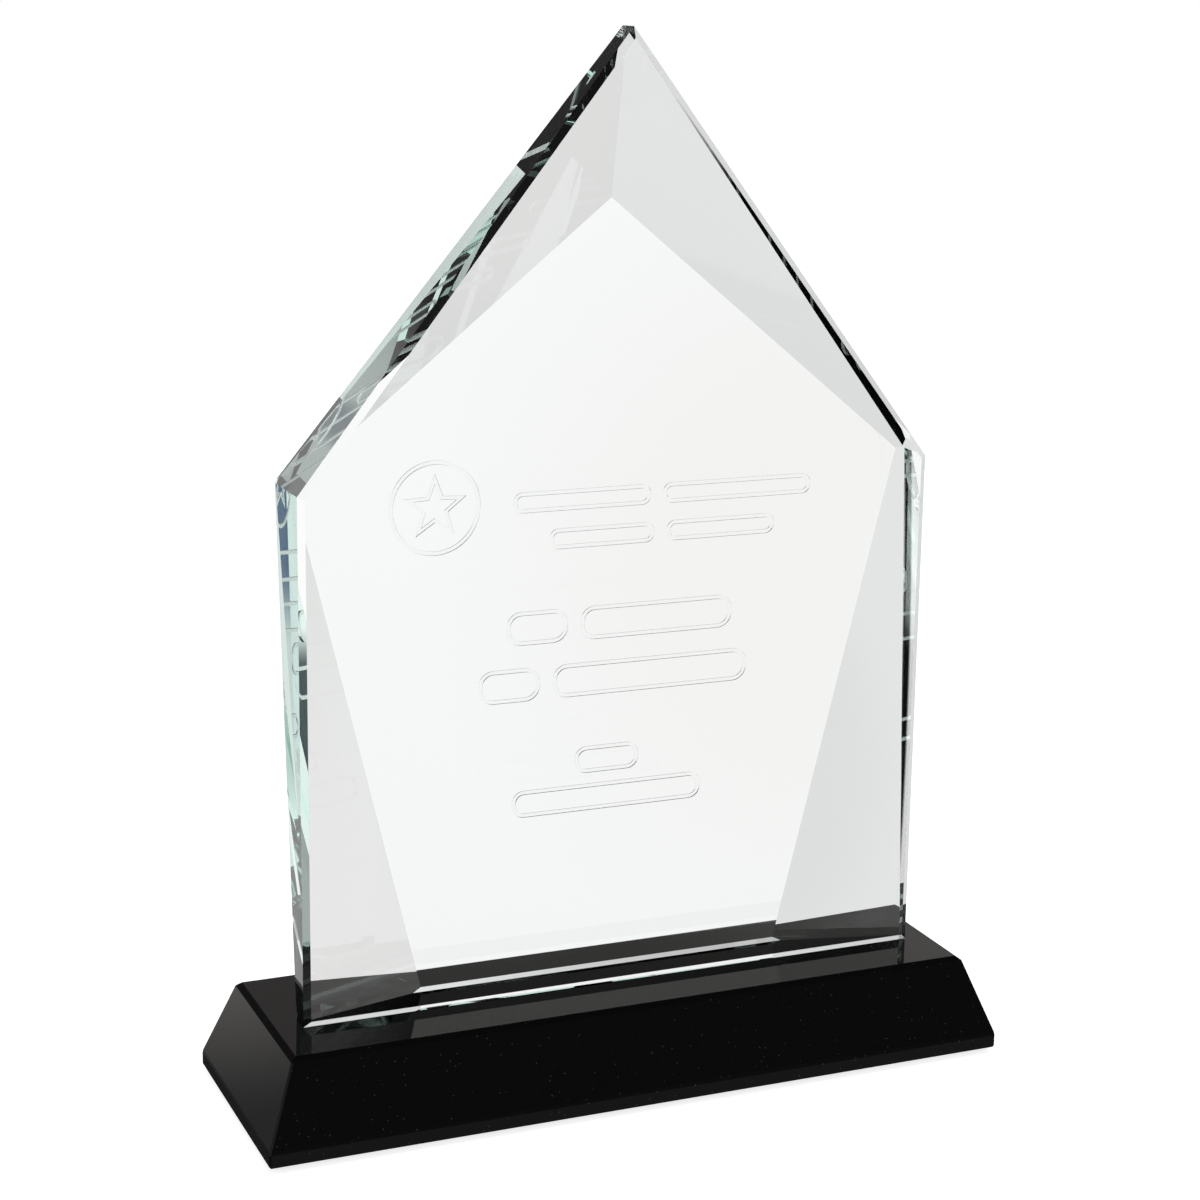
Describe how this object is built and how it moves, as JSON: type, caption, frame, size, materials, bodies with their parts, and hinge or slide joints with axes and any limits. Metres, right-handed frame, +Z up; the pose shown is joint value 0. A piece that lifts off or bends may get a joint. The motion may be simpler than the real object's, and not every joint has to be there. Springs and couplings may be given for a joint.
{
  "type": "crystal award",
  "caption": "Free-standing award: a house-shaped clear crystal plate with a faceted back, glued upright on a low black crystal base with sloped sides.",
  "frame": {"origin": "middle of the footprint, on the surface that the four pads stand on", "axes": "+Z up, +X along the plate's width, the plate's flat engraved front faces -Y"},
  "size_m": [0.178, 0.058, 0.239],
  "materials": {
    "clear_crystal": "polished, frosted in the engraving",
    "black_crystal": "polished",
    "cured_glue": "clear",
    "pad": "matt, translucent"
  },
  "bodies": {
    "root": {"crystal_panel": "clear_crystal", "black_base": "black_crystal", "adhesive_film": "cured_glue", "foot_pad_front_left": "pad", "foot_pad_front_right": "pad", "foot_pad_back_left": "pad", "foot_pad_back_right": "pad"}
  },
  "joints": []
}
